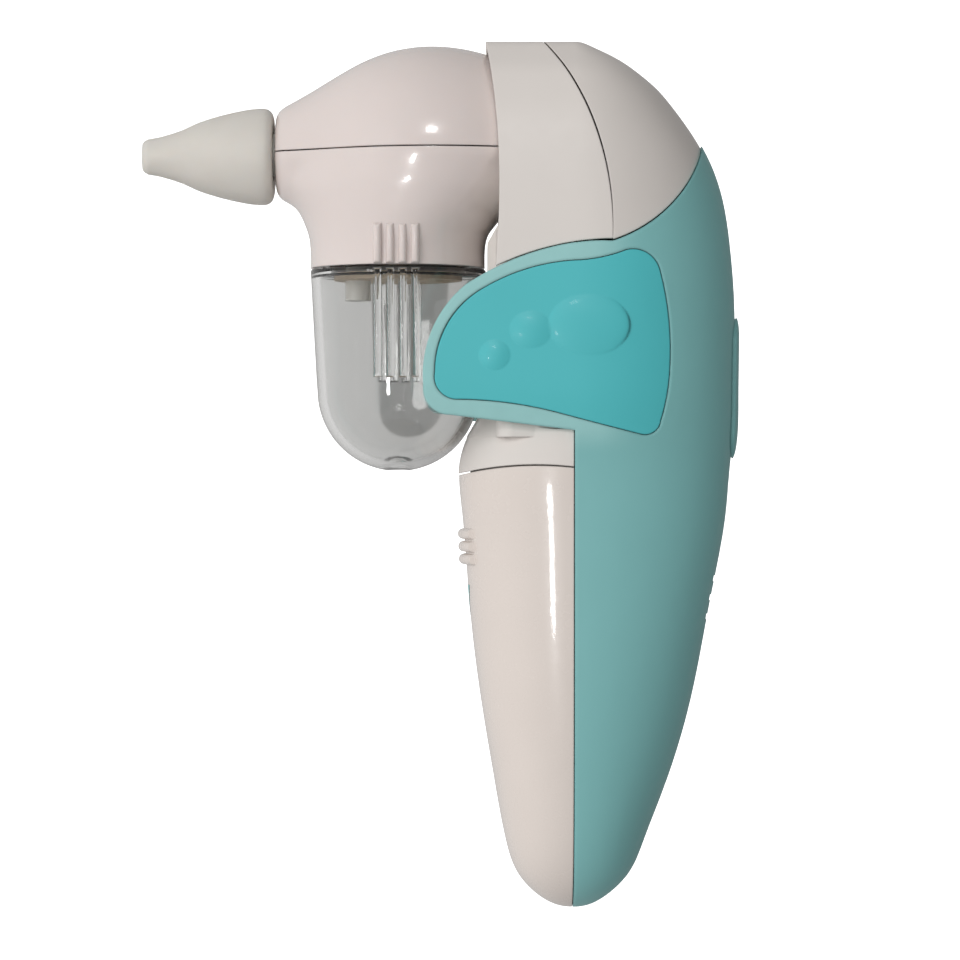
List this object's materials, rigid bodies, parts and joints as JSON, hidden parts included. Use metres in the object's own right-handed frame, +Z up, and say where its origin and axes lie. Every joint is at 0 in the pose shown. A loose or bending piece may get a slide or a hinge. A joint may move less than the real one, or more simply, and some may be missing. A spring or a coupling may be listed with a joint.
{
  "type": "nasal aspirator",
  "caption": "Battery nasal aspirator for babies: soft nose tip, rounded snout over a clear collection cup, arched collar, and a curved handle with side flaps and a battery door.",
  "frame": {"origin": "middle of the grip, on the parting plane of the handle's two halves and on the object's plane of symmetry", "axes": "+Z up the handle towards the head, -X along the nozzle towards the nose tip, +Y across the object to its left side"},
  "size_m": [0.1137, 0.0444, 0.1639],
  "materials": {
    "soft_silicone": "satin translucent",
    "warm_white_gloss": "gloss",
    "collar_white": "gloss",
    "crown_white": "gloss",
    "door_white": "gloss",
    "teal_soft_touch": "soft touch",
    "turquoise_inlay": "satin",
    "clear_plastic": "clear gloss",
    "natural_white": "satin",
    "seal_rubber": "matte",
    "dark_rubber": "matte",
    "board_green": "satin",
    "black_plastic": "satin",
    "motor_steel": "brushed",
    "bronze": "satin",
    "magnet_dark": "matte",
    "nickel_spring": "satin",
    "cell_jacket": "gloss",
    "lead_red": "satin",
    "lead_black": "satin",
    "screw_steel": "satin"
  },
  "bodies": {
    "housing": {"front_housing": "collar_white", "crown_cover": "crown_white", "rear_shell": "teal_soft_touch", "ear_inlay_left": "turquoise_inlay", "ear_inlay_right": "turquoise_inlay", "collar_bulkhead": "natural_white", "vacuum_port_grommet": "dark_rubber", "suction_hose": "soft_silicone", "circuit_board": "board_green", "tact_switch": "black_plastic", "capacitor": "black_plastic", "driver_chip": "black_plastic", "motor_can": "motor_steel", "motor_end_cap": "black_plastic", "motor_magnet_ring": "magnet_dark", "motor_bush": "bronze", "motor_saddle": "natural_white", "pump_crankcase": "natural_white", "valve_plate": "natural_white", "pump_cover": "natural_white", "pump_screws": "screw_steel", "battery_tray": "natural_white", "battery_left": "cell_jacket", "battery_right": "cell_jacket", "battery_bridge_contact": "nickel_spring", "battery_contact_left": "nickel_spring", "battery_contact_right": "nickel_spring", "motor_lead_left": "lead_red", "motor_lead_right": "lead_black", "battery_lead_left": "lead_red", "battery_lead_right": "lead_black", "case_screw": "screw_steel"},
    "snout": {"snout_upper_shell": "warm_white_gloss", "snout_lower_shell": "warm_white_gloss", "airway_insert": "natural_white", "snout_back_plate": "natural_white", "suction_nipple": "natural_white", "splash_baffle": "seal_rubber", "cup_seal_ring": "seal_rubber"},
    "nose_tip": {"nose_tip": "soft_silicone"},
    "cup": {"collection_cup": "clear_plastic"},
    "battery_door": {"battery_door": "door_white"},
    "power_button": {"power_button": "teal_soft_touch"},
    "switch_plunger": {"switch_plunger": "black_plastic"},
    "rotor": {"motor_armature": "bronze", "motor_shaft": "motor_steel", "crank_eccentric": "natural_white"},
    "pump_rod": {"pump_rod": "natural_white", "pump_diaphragm": "dark_rubber"}
  },
  "joints": [
    {"name": "snout_release", "type": "slide", "parent": "housing", "child": "snout", "axis": [-1, 0, 0], "range_m": [0, 0.045]},
    {"name": "nose_tip_pull", "type": "slide", "parent": "snout", "child": "nose_tip", "axis": [-1, 0, 0], "range_m": [0, 0.014]},
    {"name": "cup_twist", "type": "hinge", "parent": "snout", "child": "cup", "pos_m": [-0.0332, 0, 0.05], "axis": [0, 0, 1], "range_deg": [0, 35]},
    {"name": "battery_door_slide", "type": "slide", "parent": "housing", "child": "battery_door", "axis": [0, 0, -1], "range_m": [0, 0.09]},
    {"name": "power_button_press", "type": "slide", "parent": "housing", "child": "power_button", "axis": [-1, 0, 0], "range_m": [0, 0.0008], "stiffness_N_per_m": 2000},
    {"name": "switch_plunger_press", "type": "slide", "parent": "housing", "child": "switch_plunger", "axis": [-1, 0, 0], "range_m": [0, 0.0008]},
    {"name": "rotor_spin", "type": "hinge", "parent": "housing", "child": "rotor", "pos_m": [0.01, 0, 0.08], "axis": [1, 0, 0], "continuous": true},
    {"name": "pump_rod_stroke", "type": "slide", "parent": "housing", "child": "pump_rod", "axis": [0, 0, 1], "range_m": [-0.0008, 0.0008], "stiffness_N_per_m": 1000, "deforming": ["pump_diaphragm"]}
  ],
  "couplings": [
    {"joint": "switch_plunger_press", "follows": "power_button_press", "ratio": 1}
  ]
}
